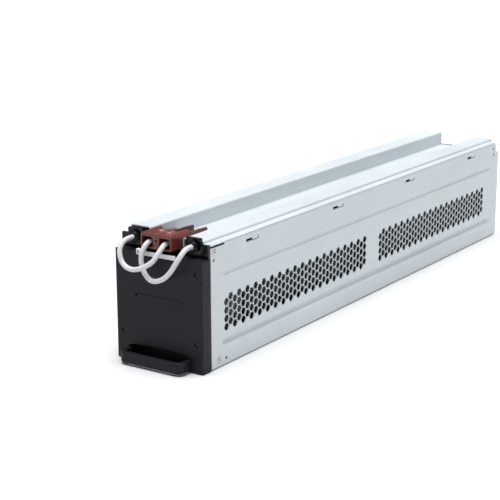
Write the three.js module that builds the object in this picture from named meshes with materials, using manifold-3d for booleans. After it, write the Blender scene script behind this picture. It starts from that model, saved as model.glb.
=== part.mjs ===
// Battery module of a rack power supply: a sheet-metal tray with eight sealed lead-acid blocks in
// series, a profiled slide-off top cover, a black front panel with a pull handle, and a two-pole
// power connector stowed between two cable glands.
// Millimetres.  X is across, Y runs from the front (-Y) to the rear, Z is up.  The origin is at the
// middle of the underside, halfway between the handle's front and the rear screws' heads.

import * as THREE from "three";
import { mergeVertices } from "three/addons/utils/BufferGeometryUtils.js";
import Module from "manifold-3d";

const wasm = await Module();
wasm.setup();

// ---- driving dimensions ---------------------------------------------------------------------------
const GAP = 0.3; // clearance between separate pieces
const WIDTH = 104; // over the tray's side walls
const HALF = WIDTH / 2;
const SHEET = 1.2; // galvanised sheet
const TRAY_FRONT = 14.3; // Y of the side walls' front edge, behind the black panel
const TRAY_REAR = 650;
const WALL_TOP = 123.1; // top of the side walls, just under the cover's edge strips
const REAR_WALL_TOP = 115;
const REAR_CAP_DEPTH = 7; // the side walls run on past the rear wall and hold the cap between them
const REAR_CAP_Z = [46, 112];
const REAR_STEP = 111.4; // above this the side walls end level with the rear wall
const REAR_CAP_FOOT = 5; // half width of the square feet round the screws

// Cover profile, heights of the upper surfaces from left to right
const STRIP_TOP = 124.6;
const RIDGE_TOP = 133.3;
const CHANNEL_TOP = 116.8;
const PLATEAU_TOP = 127.8;
const STRIP_INNER = 43.4; // |X| where an edge strip meets the ridge or the plateau
const CHANNEL_HALF = 19.5; // |X| of the channel's walls
const COVER_FRONT = 14.8;
const COVER_REAR = 654.5;
const RIDGE_REAR = 635;
const STRIP_REAR = 646;
const COVER_TRAVEL = 12; // rearward slide that frees the hooks
const SKIRT = { outer: 50.5, inner: 49.3, bottom: 110, front: 40, rear: 630 };

// Hooks lanced out of the side walls
const HOOK_FIRST = 73.5;
const HOOK_PITCH = 163.9;
const HOOK_COUNT = 4;
const HOOK_Z = 116.5;
const WINDOW = { length: 11, height: 3.2 };
const HOOK = { length: 12, height: 2.1, depth: 1.6 };
const FRONT_SLIT = { end: 37, height: 1.8 };

// Front panel
const PANEL_TOP = 111.6;
const PANEL_DEPTH = 14;
const PANEL_WALL = 2.4;
const SCREW_X = 44.5;
const SCREW_Z = [29, 98];
const SCREW = { head: 2, bore: 2.3, sink: 1.8, proud: 0.6, shank: 1.3, hole: 1.6, end: 19 };
const CROSS = { arm: 1.2, half: 0.4, depth: 0.5 }; // recess in a front screw's head
const BOSS = { radius: 3.5, end: 15.7 };
const BEAD = { half: 26.5, z: 67.7, height: 2.6, proud: 0.8 };
const PANEL_FLOOR = 1.2;
const POCKET = { half: 37.5, bottom: 2.6, side: 14.5, crown: 18, depth: 13.6, wall: 1.4 };
const HANDLE = { half: 38, reach: 17, bar: 4.5, arm: 4.5, corner: 7, bottom: 2.2, top: 13.4 };
const TIE_SLOTS = { x: [-19.5, 21], half: 1, rear: 6.5, depth: 2.9 }; // notches in the panel's upper edge
const BULKHEAD = { outer: 50.5, front: 16, bottom: 1.5, top: 111, flange: 34, ear: 26, earTop: 121 };
const RIVETS = [[20.5, 117], [27, 8.2]]; // Y, Z of the two rivets in each side wall
const RIVET = { hole: 1.9, shank: 1.5, head: 3, headHeight: 0.6, tail: 2.6, tailEnd: 47.4, tailStart: 49 };

// Connector bracket and cable glands
const PLATE = { front: 10.8, rear: 12.8, inner: 26, shoulder: 43.8, outer: 51.5, top: 131.2, low: 125.5 };
const PLATE_FOOT = 3; // height of the strip that ties the two plates together
const PLATE_RETURN = 2; // thickness of the plates' outer returns
const SADDLE = { half: 17, front: 7.5, top: 116.8 };
const GLAND_X = 35.2;
const GLAND_Z = 122.7;
const GLAND = { bore: 2.8, barrel: 5.2, nose: 4.2, front: 7.1, rear: 14.5, flats: 12 };
const NUT_FRONT = 7.9;
const LOCKNUT = 1.4;
const LEAD_RADIUS = 2.5;

// Power connector
const PLUG = {
  half: 18.4,
  bottom: 117.1,
  top: 131.9,
  front: -2,
  body: 30, // Y of the housing's rear face, ahead of the open mating side
  length: 56,
  wall: 1.8,
  cavity: 12,
};
const POLE = { x: 9.5, z: 123.5, cavity: [3.8, 16.4], roof: 129.7 }; // |X| of the wire cavities' walls
const SHAFT = { half: 3.6, bottom: 119.5, top: 127.9 }; // from each wire cavity to the mating side
const KEY_HOLE = { radius: 1.2, z: 125.2, depth: 8 };
const BARREL = { radius: 2.7, front: 5.4, rear: 16 };
const BLADE = { half: 2.4, front: 15, rear: 44, drop: 2.2, thick: 1.6 };
const SPRING = { half: 2, drop: 3.7, front: 13, bend: 30, rear: 34, rise: 0.5, thick: 0.4 };
const CENTRE_WALL = [0.4, 2.2];
const FENCE = { low: 7, high: 13.2 }; // heights of the mating side's walls above the housing's underside
const TIE = { left: -20.1, right: 21.5, bottom: 109, top: 113.4, back: -0.4, thick: 1.2, tail: 5.5 };
const TIE_HEAD = { x: [-22.7, -17.3], front: -4.4, z: [109.6, 115.4] };

// Sealed lead-acid blocks
const BLOCKS = 8;
const BLOCK = { width: 90, length: 70, height: 101, pitch: 70.4, floor: 2.5 };
const STRING_START = 79.5;
const TAB = { x: 36, offset: 24, width: 6.35, thick: 0.8, height: 6.5 };
const BLOCK_TOP = BLOCK.floor + BLOCK.height;
const LID = { height: 14, overhang: 0.8, vent: 2.5, ventInset: 4 };
const CLIP = { x: 1.9, y: 4.2, height: 9, lift: 0.6, slotX: 0.7, slotY: 3.5 }; // receptacle on a tab
const WIRE_RADIUS = 1.8;
const MAIN_RADIUS = 2.4; // the leads to the glands
const WIRE_Z = BLOCK_TOP + 9;
const BEND_Z = 118.6;
const FUSE_BLOCK = 3; // the fuse sits in the jumper between blocks 4 and 5
const FUSE = { radius: 4.4, tip: 2.6, taper: 3, length: 34 };

// Foam and film: width either side of the middle, and heights
const SIDE_PAD = { inner: 45.3, outer: 50.5, y: [84, 636], z: [74, 87] }; // above the perforations
const REAR_PAD = { half: 44, z: [2.5, 92] };
const SPACER = { half: 42, front: 19.5, z: [2.5, 90] };
const LINER = { half: 50, front: 36, z: [1.5, 2.2] };
const INSULATOR = { half: 18, y: [60, 580], z: [114.6, 115.2] };

// Rear screws: X and Z of each, head height, hole and shank and head radii
const REAR_SCREW = {
  places: [[-40, 56], [40, 56], [-40, 102], [40, 102]],
  head: 1.4,
  hole: 1.9,
  shank: 1.5,
  radius: 3.2,
};
const ORIGIN_Y = (TRAY_REAR + REAR_CAP_DEPTH + GAP + REAR_SCREW.head - HANDLE.reach) / 2;

// ---- materials --------------------------------------------------------------------------------------
function finish(color, roughness, metalness) {
  return new THREE.MeshStandardMaterial({ color, roughness, metalness });
}

const GALVANISED = finish(0xc6ced3, 0.42, 0.85);
const BLACK_PANEL = finish(0x2a2830, 0.5, 0);
const BLACK_NYLON = finish(0x15151a, 0.4, 0);
const RED_BROWN = finish(0x7c4038, 0.45, 0);
const SILVERED = finish(0xd9d9d6, 0.25, 1);
const STAINLESS = finish(0xbfc2c4, 0.3, 1);
const WHITE_LEAD = finish(0xe6e6ea, 0.45, 0);
const NATURAL_NYLON = finish(0xf0f0ec, 0.5, 0);
const BLOCK_CASE = finish(0x33363b, 0.55, 0);
const GREY_FOAM = finish(0x55585c, 0.95, 0);
const CLEAR_FILM = finish(0xd8dcd2, 0.5, 0);
const RED_LEAD = finish(0xa02a26, 0.45, 0);
const DARK_LEAD = finish(0x26262a, 0.45, 0);
const ZINC_SCREW = finish(0x3a3a40, 0.35, 0.8);

// ---- geometry helpers -------------------------------------------------------------------------------
// A closed box between two values on each axis.
function box([x0, x1], [y0, y1], [z0, z1]) {
  const geometry = new THREE.BoxGeometry(x1 - x0, y1 - y0, z1 - z0);
  return geometry.translate((x0 + x1) / 2, (y0 + y1) / 2, (z0 + z1) / 2);
}

function extrude(shape, depth, curveSegments = 6) {
  return new THREE.ExtrudeGeometry(shape, { depth, bevelEnabled: false, curveSegments });
}

function polygon(points) {
  return new THREE.Shape(points.map(([a, b]) => new THREE.Vector2(a, b)));
}

// An outline in X and Z, carried along Y from y0 to y1.
function alongY(shape, y0, y1, segments) {
  return extrude(shape, y1 - y0, segments).rotateX(Math.PI / 2).translate(0, y1, 0);
}

// A disc or regular prism about a line parallel to Y.
function barY(radius, x, z, y0, y1, sides) {
  const geometry = new THREE.CylinderGeometry(radius, radius, y1 - y0, sides);
  return geometry.translate(x, (y0 + y1) / 2, z);
}

// The same about a line parallel to X.
function barX(radius, y, z, x0, x1, sides) {
  const geometry = new THREE.CylinderGeometry(radius, radius, x1 - x0, sides);
  return geometry.rotateZ(-Math.PI / 2).translate((x0 + x1) / 2, y, z);
}

// A hexagonal prism along Y with its flats facing left and right.
function hexY(flats, x, z, y0, y1) {
  const radius = flats / Math.sqrt(3);
  const geometry = new THREE.CylinderGeometry(radius, radius, y1 - y0, 6);
  return geometry.translate(x, (y0 + y1) / 2, z);
}

function toSolid(geometry) {
  const bare = geometry.clone();
  bare.deleteAttribute("normal");
  bare.deleteAttribute("uv");
  const merged = mergeVertices(bare, 1e-4);
  const vertProperties = new Float32Array(merged.attributes.position.array);
  const triVerts = new Uint32Array(merged.index.array);
  return new wasm.Manifold(new wasm.Mesh({ numProp: 3, vertProperties, triVerts }));
}

function toGeometry(solid) {
  const mesh = solid.getMesh();
  const geometry = new THREE.BufferGeometry();
  geometry.setAttribute("position", new THREE.BufferAttribute(new Float32Array(mesh.vertProperties), 3));
  geometry.setIndex(new THREE.BufferAttribute(new Uint32Array(mesh.triVerts), 1));
  geometry.computeVertexNormals();
  return geometry;
}

// Joins the first list of shapes and takes the second list away from it.
function combine(joined, removed = []) {
  let solid = toSolid(joined[0]);
  for (const geometry of joined.slice(1)) {
    solid = solid.add(toSolid(geometry));
  }
  for (const geometry of removed) {
    solid = solid.subtract(toSolid(geometry));
  }
  return toGeometry(solid);
}

function circleShape(radius, sides) {
  const points = [];
  for (let i = 0; i < sides; i += 1) {
    const angle = (2 * Math.PI * i) / sides;
    points.push([radius * Math.cos(angle), radius * Math.sin(angle)]);
  }
  return polygon(points);
}

// A round lead through the given points.
function tube(points, radius, steps, sides = 8) {
  const extrudePath = new THREE.CatmullRomCurve3(points.map((p) => new THREE.Vector3(...p)));
  return new THREE.ExtrudeGeometry(circleShape(radius, sides), { steps, extrudePath, bevelEnabled: false });
}

const sides = [[-1, "left"], [1, "right"]];
const mirrorPair = (side, a, b) => (side < 0 ? [-b, -a] : [a, b]);

// ---- assembly ---------------------------------------------------------------------------------------
const group = new THREE.Group();
group.position.set(0, -ORIGIN_Y, 0);

function add(name, geometry, material) {
  const mesh = new THREE.Mesh(geometry, material);
  mesh.name = name;
  group.add(mesh);
  return mesh;
}

// ---- tray, bulkhead and rear cap --------------------------------------------------------------------
const hookStart = (i) => HOOK_FIRST + i * HOOK_PITCH;

function makeTray() {
  const joined = [
    box([-HALF, HALF], [TRAY_FRONT, TRAY_REAR], [0, SHEET]),
    box([-HALF, HALF], [TRAY_REAR - SHEET, TRAY_REAR], [0, REAR_WALL_TOP]),
  ];
  const removed = [];
  for (const [side] of sides) {
    const wallEnd = TRAY_REAR + REAR_CAP_DEPTH;
    joined.push(box(mirrorPair(side, HALF - SHEET, HALF), [TRAY_FRONT, wallEnd], [0, WALL_TOP]));
    const through = mirrorPair(side, HALF - 2 * SHEET, HALF + SHEET);
    removed.push(box(through, [0, FRONT_SLIT.end], [WALL_TOP - FRONT_SLIT.height, WALL_TOP + 1]));
    removed.push(box(through, [TRAY_REAR, wallEnd + 1], [REAR_STEP, WALL_TOP + 1]));
    for (const [y, z] of RIVETS) {
      removed.push(barX(RIVET.hole, y, z, through[0], through[1], 12));
    }
    for (let i = 0; i < HOOK_COUNT; i += 1) {
      const y = hookStart(i);
      const zWindow = [HOOK_Z - WINDOW.height / 2, HOOK_Z + WINDOW.height / 2];
      const zHook = [HOOK_Z - HOOK.height / 2, HOOK_Z + HOOK.height / 2];
      const inward = mirrorPair(side, HALF - SHEET - HOOK.depth, HALF - SHEET / 2);
      removed.push(box(through, [y, y + WINDOW.length], zWindow));
      joined.push(box(inward, [y + WINDOW.length, y + WINDOW.length + HOOK.length], zHook));
    }
  }
  for (const [x, z] of REAR_SCREW.places) {
    removed.push(barY(REAR_SCREW.hole, x, z, TRAY_REAR - 2 * SHEET, TRAY_REAR + 1, 12));
  }
  return combine(joined, removed);
}

function makeBulkhead() {
  const { outer, front, bottom, top, flange, ear, earTop } = BULKHEAD;
  const joined = [box([-outer, outer], [front, front + SHEET], [bottom, top])];
  const removed = [];
  for (const [side] of sides) {
    const x = mirrorPair(side, outer - SHEET, outer);
    const through = mirrorPair(side, outer - 2 * SHEET, HALF + 1);
    joined.push(box(x, [front, flange], [bottom, top]));
    joined.push(box(x, [front, ear], [top - 1, earTop]));
    for (const [y, z] of RIVETS) {
      removed.push(barX(RIVET.hole, y, z, through[0], through[1], 12));
    }
    for (const z of SCREW_Z) {
      removed.push(barY(SCREW.hole, side * SCREW_X, z, front - 1, front + 3, 12));
    }
  }
  return combine(joined, removed);
}

function makeRearCap() {
  const y0 = TRAY_REAR + GAP;
  const y1 = TRAY_REAR + REAR_CAP_DEPTH;
  const [z0, z1] = REAR_CAP_Z;
  const half = HALF - SHEET - GAP;
  const outer = box([-half, half], [y0, y1], [z0, z1]);
  const hollow = box([-half + SHEET, half - SHEET], [y0 - 1, y1 - SHEET], [z0 + SHEET, z1 - SHEET]);
  const f = REAR_CAP_FOOT;
  const feet = REAR_SCREW.places.map(([x, z]) => box([x - f, x + f], [y0, y1 - SHEET / 2], [z - f, z + f]));
  const holes = REAR_SCREW.places.map(([x, z]) => barY(REAR_SCREW.hole, x, z, y0 - 1, y1 + 1, 12));
  const shell = toGeometry(toSolid(outer).subtract(toSolid(hollow)));
  return combine([shell, ...feet], holes);
}

// ---- top cover --------------------------------------------------------------------------------------
// One sheet: edge strip, ridge, channel, plateau and edge strip, given by its upper line.
function coverProfile() {
  const upper = [
    [-HALF, STRIP_TOP],
    [-STRIP_INNER, STRIP_TOP],
    [-STRIP_INNER, RIDGE_TOP],
    [-CHANNEL_HALF, RIDGE_TOP],
    [-CHANNEL_HALF, CHANNEL_TOP],
    [CHANNEL_HALF, CHANNEL_TOP],
    [CHANNEL_HALF, PLATEAU_TOP],
    [STRIP_INNER, PLATEAU_TOP],
    [STRIP_INNER, STRIP_TOP],
    [HALF, STRIP_TOP],
  ];
  const t = SHEET;
  const lower = [
    [HALF, STRIP_TOP - t],
    [STRIP_INNER - t, STRIP_TOP - t],
    [STRIP_INNER - t, PLATEAU_TOP - t],
    [CHANNEL_HALF + t, PLATEAU_TOP - t],
    [CHANNEL_HALF + t, CHANNEL_TOP - t],
    [-CHANNEL_HALF - t, CHANNEL_TOP - t],
    [-CHANNEL_HALF - t, RIDGE_TOP - t],
    [-STRIP_INNER + t, RIDGE_TOP - t],
    [-STRIP_INNER + t, STRIP_TOP - t],
    [-HALF, STRIP_TOP - t],
  ];
  return polygon([...upper, ...lower].reverse());
}

function makeCover() {
  const joined = [alongY(coverProfile(), COVER_FRONT, COVER_REAR)];
  const ridgeWeb = [-STRIP_INNER + SHEET / 2, -CHANNEL_HALF - SHEET / 2];
  const webHeight = [CHANNEL_TOP - SHEET, RIDGE_TOP - SHEET / 2];
  joined.push(box(ridgeWeb, [RIDGE_REAR - SHEET, RIDGE_REAR], webHeight));
  const behind = [RIDGE_REAR, COVER_REAR + 1];
  const removed = [
    box([-HALF - 1, -CHANNEL_HALF], behind, [STRIP_TOP + 0.01, RIDGE_TOP + 1]),
    box([-STRIP_INNER + 0.01, CHANNEL_HALF - 0.01], behind, [SKIRT.bottom, RIDGE_TOP + 1]),
  ];
  for (const [side] of sides) {
    const skirt = mirrorPair(side, SKIRT.inner, SKIRT.outer);
    const through = mirrorPair(side, SKIRT.inner - 1, SKIRT.outer + 0.1);
    joined.push(box(skirt, [SKIRT.front, SKIRT.rear], [SKIRT.bottom, STRIP_TOP - SHEET / 2]));
    const strip = mirrorPair(side, STRIP_INNER + 0.01, HALF + 1);
    removed.push(box(strip, [STRIP_REAR, COVER_REAR + 1], [SKIRT.bottom, STRIP_TOP + 1]));
    for (let i = 0; i < HOOK_COUNT; i += 1) {
      const hook = hookStart(i) + WINDOW.length;
      const y = [hook - COVER_TRAVEL - 0.5, hook + HOOK.length + 0.5];
      removed.push(box(through, y, [HOOK_Z - HOOK.height / 2 - 0.5, HOOK_Z + HOOK.height / 2 + 0.5]));
    }
  }
  return combine(joined, removed);
}

// ---- front panel and handle -------------------------------------------------------------------------
// Half-round-topped outline of the finger pocket, grown by "wall" all round.
function pocketShape(wall) {
  const x = POCKET.half + wall;
  const shape = new THREE.Shape();
  shape.moveTo(-x, POCKET.bottom - wall);
  shape.lineTo(x, POCKET.bottom - wall);
  shape.lineTo(x, POCKET.side + wall);
  shape.quadraticCurveTo(0, 2 * POCKET.crown - POCKET.side + wall, -x, POCKET.side + wall);
  shape.closePath();
  return shape;
}

function beadShape() {
  const shape = new THREE.Shape();
  const r = BEAD.height / 2;
  shape.moveTo(-BEAD.half, BEAD.z - r);
  shape.lineTo(BEAD.half, BEAD.z - r);
  shape.absarc(BEAD.half, BEAD.z, r, -Math.PI / 2, Math.PI / 2, false);
  shape.lineTo(-BEAD.half, BEAD.z + r);
  shape.absarc(-BEAD.half, BEAD.z, r, Math.PI / 2, (3 * Math.PI) / 2, false);
  return shape;
}

function makeFrontPanel() {
  const w = PANEL_WALL;
  const joined = [
    box([-HALF, HALF], [0, w], [0, PANEL_TOP]),
    box([-HALF, HALF], [0, PANEL_DEPTH], [PANEL_TOP - w, PANEL_TOP]),
    box([-HALF, HALF], [0, PANEL_DEPTH], [0, PANEL_FLOOR]),
    alongY(pocketShape(POCKET.wall), 0.5, POCKET.depth + POCKET.wall, 10),
    alongY(beadShape(), -BEAD.proud, 1, 5),
  ];
  const removed = [alongY(pocketShape(0), -1, POCKET.depth, 10)];
  for (const [side] of sides) {
    joined.push(box(mirrorPair(side, HALF - w, HALF), [0, PANEL_DEPTH], [0, PANEL_TOP]));
    for (const z of SCREW_Z) {
      joined.push(barY(BOSS.radius, side * SCREW_X, z, 1, BOSS.end, 12));
      removed.push(barY(SCREW.hole, side * SCREW_X, z, -1, BOSS.end + 1, 12));
      removed.push(barY(SCREW.bore, side * SCREW_X, z, -1, SCREW.sink, 12));
    }
  }
  for (const x of TIE_SLOTS.x) {
    const across = [x - TIE_SLOTS.half, x + TIE_SLOTS.half];
    removed.push(box(across, [-1, TIE_SLOTS.rear], [PANEL_TOP - TIE_SLOTS.depth, PANEL_TOP + 1]));
  }
  return combine(joined, removed);
}

function makeHandle() {
  const { half, reach, bar, arm, corner, bottom, top } = HANDLE;
  const inner = corner - 2.5;
  const shape = new THREE.Shape();
  shape.moveTo(-half, -GAP);
  shape.lineTo(-half, -reach + corner);
  shape.absarc(-half + corner, -reach + corner, corner, Math.PI, 1.5 * Math.PI, false);
  shape.lineTo(half - corner, -reach);
  shape.absarc(half - corner, -reach + corner, corner, -0.5 * Math.PI, 0, false);
  shape.lineTo(half, -GAP);
  shape.lineTo(half - arm, -GAP);
  shape.lineTo(half - arm, -reach + bar + inner);
  shape.absarc(half - arm - inner, -reach + bar + inner, inner, 0, -0.5 * Math.PI, true);
  shape.lineTo(-half + arm + inner, -reach + bar);
  shape.absarc(-half + arm + inner, -reach + bar + inner, inner, 1.5 * Math.PI, Math.PI, true);
  shape.lineTo(-half + arm, -GAP);
  shape.closePath();
  return extrude(shape, top - bottom, 5).translate(0, 0, bottom);
}

// ---- connector bracket, glands and tie --------------------------------------------------------------
function makeBracket() {
  const { front, rear, inner, shoulder, outer, top, low } = PLATE;
  const base = PANEL_TOP + GAP;
  const joined = [
    box([-outer, outer], [front, rear], [base, base + PLATE_FOOT]),
    box([-SADDLE.half, SADDLE.half], [SADDLE.front, PANEL_DEPTH], [base, SADDLE.top]),
  ];
  const removed = [];
  for (const [side] of sides) {
    joined.push(box(mirrorPair(side, inner, shoulder), [front, rear], [base, top]));
    joined.push(box(mirrorPair(side, inner, outer), [front, rear], [base, low]));
    joined.push(box(mirrorPair(side, outer - PLATE_RETURN, outer), [front, PANEL_DEPTH], [base, low]));
    removed.push(barY(GLAND.barrel + GAP, side * GLAND_X, GLAND_Z, front - 1, rear + 1, 16));
  }
  return combine(joined, removed);
}

function makeGland(side) {
  const x = side * GLAND_X;
  const { bore, barrel, nose, front, rear } = GLAND;
  const body = barY(barrel, x, GLAND_Z, front + 0.5, rear, 16);
  const tip = barY(nose, x, GLAND_Z, front, front + 1, 16);
  return combine([body, tip], [barY(bore, x, GLAND_Z, front - 1, rear + 1, 12)]);
}

function makeHexNut(side, y0, y1) {
  const x = side * GLAND_X;
  const bore = barY(GLAND.barrel + GAP, x, GLAND_Z, y0 - 1, y1 + 1, 16);
  return combine([hexY(GLAND.flats, x, GLAND_Z, y0, y1)], [bore]);
}

function makeTie() {
  const { left, right, bottom, top, back, thick, tail } = TIE;
  const front = [back - thick, back];
  const tailHeight = [bottom, PANEL_TOP - 0.2];
  const run = box([left, right], front, [bottom, top]);
  const leftTail = box([left, left + thick], [front[0], tail], tailHeight);
  const rightTail = box([right - thick, right], [front[0], tail], tailHeight);
  const head = box(TIE_HEAD.x, [TIE_HEAD.front, back], TIE_HEAD.z);
  return combine([run, leftTail, rightTail, head]);
}

// ---- power connector --------------------------------------------------------------------------------
function makeConnector() {
  const { half, bottom, top, front, body, length, wall, cavity } = PLUG;
  const mating = [body - 1, length];
  const joined = [
    box([-half, half], [front, body], [bottom, top]),
    box([-half, half], mating, [bottom, bottom + wall]),
    box([-half, -half + wall], mating, [bottom, bottom + FENCE.low]),
    box(CENTRE_WALL, mating, [bottom, bottom + FENCE.high]),
    box([half - wall, half], mating, [bottom, bottom + FENCE.high]),
  ];
  const removed = [barY(KEY_HOLE.radius, 0, KEY_HOLE.z, front - 1, front + KEY_HOLE.depth, 10)];
  for (const [side] of sides) {
    const shaft = [side * POLE.x - SHAFT.half, side * POLE.x + SHAFT.half];
    removed.push(box(mirrorPair(side, ...POLE.cavity), [front - 1, cavity], [bottom + wall, POLE.roof]));
    removed.push(box(shaft, [cavity - 1, body + 1], [SHAFT.bottom, SHAFT.top]));
  }
  return combine(joined, removed);
}

// Contact: a crimped barrel in the wire cavity and a flat blade that reaches the mating side.
function makeContact(x) {
  const barrel = barY(BARREL.radius, x, POLE.z, BARREL.front, BARREL.rear, 12);
  const low = POLE.z - BLADE.drop;
  const across = [x - BLADE.half, x + BLADE.half];
  return combine([barrel, box(across, [BLADE.front, BLADE.rear], [low, low + BLADE.thick])]);
}

function makeContactSpring(x) {
  const { half, drop, front, bend, rear, rise, thick } = SPRING;
  const low = POLE.z - drop;
  const profile = polygon([
    [front, low],
    [bend, low],
    [rear, low + rise],
    [rear, low + rise + thick],
    [bend, low + thick],
    [front, low + thick],
  ]);
  const strip = extrude(profile, 2 * half).rotateX(Math.PI / 2).rotateZ(Math.PI / 2);
  return strip.translate(x - half, 0, 0);
}

// The two visible leads, each looping from a gland to the connector's opposite pole.
const leftLeadRoute = [
  [-GLAND_X, GLAND.front - GAP, GLAND_Z],
  [-35.2, 1.5, 122.7],
  [-35.3, -5.4, 121.8],
  [-35.2, -11.4, 117.8],
  [-34.2, -14.6, 111.4],
  [-30.4, -16, 103.6],
  [-23.8, -16.8, 99.2],
  [-15.8, -17, 98.4],
  [-7.2, -16.6, 100.8],
  [0.2, -15.2, 104.8],
  [5.4, -13.4, 109.2],
  [8.1, -10.2, 115],
  [9.3, -5.8, 119.8],
  [9.5, -1.4, 122.7],
  [9.5, 4.2, POLE.z],
];
const rightLeadRoute = [
  [GLAND_X, GLAND.front - GAP, GLAND_Z],
  [35.2, 1.8, 122.7],
  [35.2, -4, 121.2],
  [33.6, -9.2, 116],
  [29.6, -12.2, 108],
  [24.0, -12.8, 100],
  [16.0, -12.4, 93],
  [6.4, -11.8, 89],
  [-1.2, -11.2, 89.6],
  [-7.6, -10.6, 94.8],
  [-11.6, -9.8, 102.4],
  [-12.2, -9, 111],
  [-10.9, -6.4, 118.4],
  [-9.8, -1.8, 122.6],
  [-9.5, 4.2, POLE.z],
];

// ---- blocks and internal wiring ---------------------------------------------------------------------
const blockCentre = (i) => STRING_START + BLOCK.length / 2 + i * BLOCK.pitch;
const tabY = (i) => blockCentre(i) + (i % 2 === 0 ? TAB.offset : -TAB.offset);

function makeBlock(i) {
  const y = blockCentre(i);
  const w = BLOCK.width / 2;
  const l = BLOCK.length / 2;
  const lidLine = BLOCK_TOP - LID.height;
  const grown = (step, z) => box([-w + step, w - step], [y - l + step, y + l - step], z);
  const joined = [
    grown(LID.overhang, [BLOCK.floor, lidLine + 1]),
    grown(0, [lidLine, BLOCK_TOP - LID.vent]),
    grown(LID.ventInset, [BLOCK_TOP - LID.vent - 0.5, BLOCK_TOP]),
  ];
  for (const [side] of sides) {
    const x = side * TAB.x;
    const yTab = tabY(i);
    joined.push(box(
      [x - TAB.thick / 2, x + TAB.thick / 2],
      [yTab - TAB.width / 2, yTab + TAB.width / 2],
      [BLOCK_TOP - 1, BLOCK_TOP + TAB.height],
    ));
  }
  return combine(joined);
}

// Push-on receptacle over a tab, open below.
function receptacle(x, y) {
  const z = BLOCK_TOP + CLIP.lift;
  const outer = box([x - CLIP.x, x + CLIP.x], [y - CLIP.y, y + CLIP.y], [z, z + CLIP.height]);
  const slotZ = [z - 1, BLOCK_TOP + TAB.height + GAP];
  const slot = box([x - CLIP.slotX, x + CLIP.slotX], [y - CLIP.slotY, y + CLIP.slotY], slotZ);
  return combine([outer], [slot]);
}

// A jumper between the facing tabs of blocks i and i + 1.
function makeJumper(i) {
  const x = i % 2 === 0 ? -TAB.x : TAB.x;
  const a = tabY(i);
  const b = tabY(i + 1);
  const reach = Math.min(9, (b - a) / 3);
  const route = [[x, a, WIRE_Z], [x, a + 0.6, WIRE_Z + 4], [x, a + reach, BEND_Z]];
  route.push([x, b - reach, BEND_Z], [x, b - 0.6, WIRE_Z + 4], [x, b, WIRE_Z]);
  return combine([receptacle(x, a), receptacle(x, b), tube(route, WIRE_RADIUS, 18)]);
}

function makeFuseLead(atBlock, direction) {
  const x = TAB.x;
  const y = tabY(atBlock);
  const middle = (tabY(FUSE_BLOCK) + tabY(FUSE_BLOCK + 1)) / 2;
  const end = middle - direction * (FUSE.length / 2 + GAP);
  const route = [[x, y, WIRE_Z], [x, y + direction * 0.6, WIRE_Z + 4], [x, y + direction * 9, BEND_Z]];
  route.push([x, (y + end) / 2, BEND_Z], [x, end, BEND_Z]);
  return combine([receptacle(x, y), tube(route, WIRE_RADIUS, 14)]);
}

function makeFuse() {
  const middle = (tabY(FUSE_BLOCK) + tabY(FUSE_BLOCK + 1)) / 2;
  const half = FUSE.length / 2;
  const profile = [
    [0, -half],
    [FUSE.tip, -half],
    [FUSE.radius, -half + FUSE.taper],
    [FUSE.radius, half - FUSE.taper],
    [FUSE.tip, half],
    [0, half],
  ];
  const geometry = new THREE.LatheGeometry(profile.map(([r, y]) => new THREE.Vector2(r, y)), 12);
  return geometry.translate(TAB.x, middle, BEND_Z);
}

function makePositiveLead() {
  const y = blockCentre(0) + TAB.offset;
  const x = TAB.x;
  const route = [[GLAND_X, GLAND.rear + GAP, GLAND_Z], [GLAND_X, 24, 121.8], [x, 60, 119], [x, 92, 118.6]];
  route.push([x, y - 1, WIRE_Z + 4], [x, y, WIRE_Z]);
  return combine([tube(route, MAIN_RADIUS, 26), receptacle(x, y)]);
}

function makeNegativeLead() {
  const last = BLOCKS - 1;
  const y = tabY(last);
  const route = [
    [-GLAND_X, GLAND.rear + GAP, GLAND_Z],
    [-34, 26, 123.4],
    [-27.5, 60, 125.6],
    [-26.5, 320, 125.6],
    [-26.5, 560, 125.6],
    [-25.5, 578, 122],
    [-22, 590, 113],
    [-10, 600, 109.2],
    [12, 606, 109.2],
    [27, 604, 110],
    [34.4, 594, 113],
    [TAB.x, y + 9, 118.2],
    [TAB.x, y + 1, 117],
    [TAB.x, y, WIRE_Z],
  ];
  return combine([tube(route, MAIN_RADIUS, 78), receptacle(TAB.x, y)]);
}

// ---- fasteners --------------------------------------------------------------------------------------
function makeFrontScrew(side, z) {
  const x = side * SCREW_X;
  const shank = barY(SCREW.shank, x, z, SCREW.sink - 0.4, SCREW.end, 10);
  const head = barY(SCREW.head, x, z, SCREW.proud, SCREW.sink - GAP, 14);
  const depth = [-1, SCREW.proud + CROSS.depth];
  const upright = box([x - CROSS.half, x + CROSS.half], depth, [z - CROSS.arm, z + CROSS.arm]);
  const level = box([x - CROSS.arm, x + CROSS.arm], depth, [z - CROSS.half, z + CROSS.half]);
  return combine([shank, head], [upright, level]);
}

function makeRivet(side, y, z) {
  const head = HALF + GAP;
  const { shank, headHeight, tailEnd, tailStart } = RIVET;
  return combine([
    barX(shank, y, z, ...mirrorPair(side, tailEnd + 0.4, head + 0.2), 12),
    barX(RIVET.head, y, z, ...mirrorPair(side, head, head + headHeight), 16),
    barX(RIVET.tail, y, z, ...mirrorPair(side, tailEnd, tailStart), 12),
  ]);
}

function makeRearScrew(x, z) {
  const y = TRAY_REAR + REAR_CAP_DEPTH;
  const shank = barY(REAR_SCREW.shank, x, z, TRAY_REAR - SHEET, y + GAP + 0.2, 10);
  const head = barY(REAR_SCREW.radius, x, z, y + GAP, y + GAP + REAR_SCREW.head, 14);
  return combine([shank, head]);
}

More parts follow.
